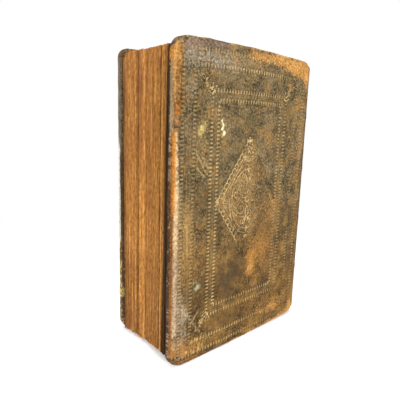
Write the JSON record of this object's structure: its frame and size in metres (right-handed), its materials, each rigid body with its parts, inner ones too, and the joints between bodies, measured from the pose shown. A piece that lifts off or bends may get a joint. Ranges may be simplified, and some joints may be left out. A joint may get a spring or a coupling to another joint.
{
  "type": "prayer book",
  "caption": "Thick antique prayer book in blind-tooled leather over wooden boards, with raised-band spine, hinged covers and turning gatherings.",
  "frame": {"origin": "below the middle of the closed book, on the plane that its tail edges stand on", "axes": "+Z from tail to head, +X from the fore-edge to the spine, +Y from the back cover to the front cover"},
  "size_m": [0.108, 0.053, 0.16],
  "materials": {
    "cover_leather": "olive-brown grained calf, blind tooled, polished by handling, worn to orange-tan at the edges",
    "spine_leather": "dark brown grained calf over raised bands, worn to tan on the bands",
    "board_wood": "plain sawn beech, matt",
    "peg_wood": "whittled hardwood, matt",
    "endpaper": "aged cream laid paper with brown stains, matt",
    "page_paper": "old rag paper, browned at the edges, matt",
    "cord": "twisted hemp cord, matt",
    "thread": "waxed linen thread",
    "lining_paper": "parchment-like lining paper, glued, matt",
    "band_core": "rolled cord core, matt",
    "band_silk": "wound thread in faded brown and cream, soft sheen"
  },
  "bodies": {
    "text_block": {"middle_gathering_1": "page_paper", "middle_gathering_2": "page_paper", "middle_gathering_3": "page_paper", "middle_gathering_4": "page_paper", "front_bound_folds": "page_paper", "back_bound_folds": "page_paper", "head_kettle_stitch": "thread", "tail_kettle_stitch": "thread", "sewing_cord_1": "cord", "sewing_cord_2": "cord", "sewing_cord_3": "cord", "sewing_cord_4": "cord", "spine_lining_1": "lining_paper", "spine_lining_2": "lining_paper", "spine_lining_3": "lining_paper", "spine_lining_4": "lining_paper", "spine_lining_5": "lining_paper", "headband_core": "band_core", "headband_silk": "band_silk", "tailband_core": "band_core", "tailband_silk": "band_silk", "spine_leather": "spine_leather"},
    "front_cover": {"front_board": "board_wood", "front_cover_leather": "cover_leather", "front_pastedown": "endpaper", "front_cord_slips": "cord", "front_lacing_pegs": "peg_wood"},
    "front_flyleaf": {"front_flyleaf": "endpaper"},
    "front_gathering_1": {"front_gathering_1": "page_paper"},
    "front_gathering_2": {"front_gathering_2": "page_paper"},
    "front_gathering_3": {"front_gathering_3": "page_paper"},
    "front_gathering_4": {"front_gathering_4": "page_paper"},
    "back_cover": {"back_board": "board_wood", "back_cover_leather": "cover_leather", "back_pastedown": "endpaper", "back_cord_slips": "cord", "back_lacing_pegs": "peg_wood"},
    "back_flyleaf": {"back_flyleaf": "endpaper"},
    "back_gathering_1": {"back_gathering_1": "page_paper"},
    "back_gathering_2": {"back_gathering_2": "page_paper"},
    "back_gathering_3": {"back_gathering_3": "page_paper"},
    "back_gathering_4": {"back_gathering_4": "page_paper"}
  },
  "joints": [
    {"name": "back_cover_hinge", "type": "hinge", "parent": "text_block", "child": "back_cover", "pos_m": [0.0452, -0.02647, 0.08], "axis": [0, 0, 1], "range_deg": [0, 130]},
    {"name": "back_flyleaf_turn", "type": "hinge", "parent": "text_block", "child": "back_flyleaf", "pos_m": [0.0376, -0.02032, 0.08], "axis": [0, 0, 1], "range_deg": [0, 85.8]},
    {"name": "back_gathering_1_turn", "type": "hinge", "parent": "text_block", "child": "back_gathering_1", "pos_m": [0.0376, -0.01843, 0.08], "axis": [0, 0, 1], "range_deg": [0, 54.6]},
    {"name": "back_gathering_2_turn", "type": "hinge", "parent": "text_block", "child": "back_gathering_2", "pos_m": [0.0376, -0.01507, 0.08], "axis": [0, 0, 1], "range_deg": [0, 36.4]},
    {"name": "back_gathering_3_turn", "type": "hinge", "parent": "text_block", "child": "back_gathering_3", "pos_m": [0.0376, -0.01172, 0.08], "axis": [0, 0, 1], "range_deg": [0, 20.8]},
    {"name": "back_gathering_4_turn", "type": "hinge", "parent": "text_block", "child": "back_gathering_4", "pos_m": [0.0376, -0.00838, 0.08], "axis": [0, 0, 1], "range_deg": [0, 9.1]},
    {"name": "front_cover_hinge", "type": "hinge", "parent": "text_block", "child": "front_cover", "pos_m": [0.0452, 0.02647, 0.08], "axis": [0, 0, -1], "range_deg": [0, 130]},
    {"name": "front_flyleaf_turn", "type": "hinge", "parent": "text_block", "child": "front_flyleaf", "pos_m": [0.0376, 0.02032, 0.08], "axis": [0, 0, -1], "range_deg": [0, 85.8]},
    {"name": "front_gathering_1_turn", "type": "hinge", "parent": "text_block", "child": "front_gathering_1", "pos_m": [0.0376, 0.01843, 0.08], "axis": [0, 0, -1], "range_deg": [0, 54.6]},
    {"name": "front_gathering_2_turn", "type": "hinge", "parent": "text_block", "child": "front_gathering_2", "pos_m": [0.0376, 0.01507, 0.08], "axis": [0, 0, -1], "range_deg": [0, 36.4]},
    {"name": "front_gathering_3_turn", "type": "hinge", "parent": "text_block", "child": "front_gathering_3", "pos_m": [0.0376, 0.01172, 0.08], "axis": [0, 0, -1], "range_deg": [0, 20.8]},
    {"name": "front_gathering_4_turn", "type": "hinge", "parent": "text_block", "child": "front_gathering_4", "pos_m": [0.0376, 0.00838, 0.08], "axis": [0, 0, -1], "range_deg": [0, 9.1]}
  ],
  "couplings": [
    {"joint": "back_flyleaf_turn", "follows": "back_cover_hinge", "ratio": 0.66},
    {"joint": "back_gathering_1_turn", "follows": "back_cover_hinge", "ratio": 0.42},
    {"joint": "back_gathering_2_turn", "follows": "back_cover_hinge", "ratio": 0.28},
    {"joint": "back_gathering_3_turn", "follows": "back_cover_hinge", "ratio": 0.16},
    {"joint": "back_gathering_4_turn", "follows": "back_cover_hinge", "ratio": 0.07},
    {"joint": "front_flyleaf_turn", "follows": "front_cover_hinge", "ratio": 0.66},
    {"joint": "front_gathering_1_turn", "follows": "front_cover_hinge", "ratio": 0.42},
    {"joint": "front_gathering_2_turn", "follows": "front_cover_hinge", "ratio": 0.28},
    {"joint": "front_gathering_3_turn", "follows": "front_cover_hinge", "ratio": 0.16},
    {"joint": "front_gathering_4_turn", "follows": "front_cover_hinge", "ratio": 0.07}
  ]
}
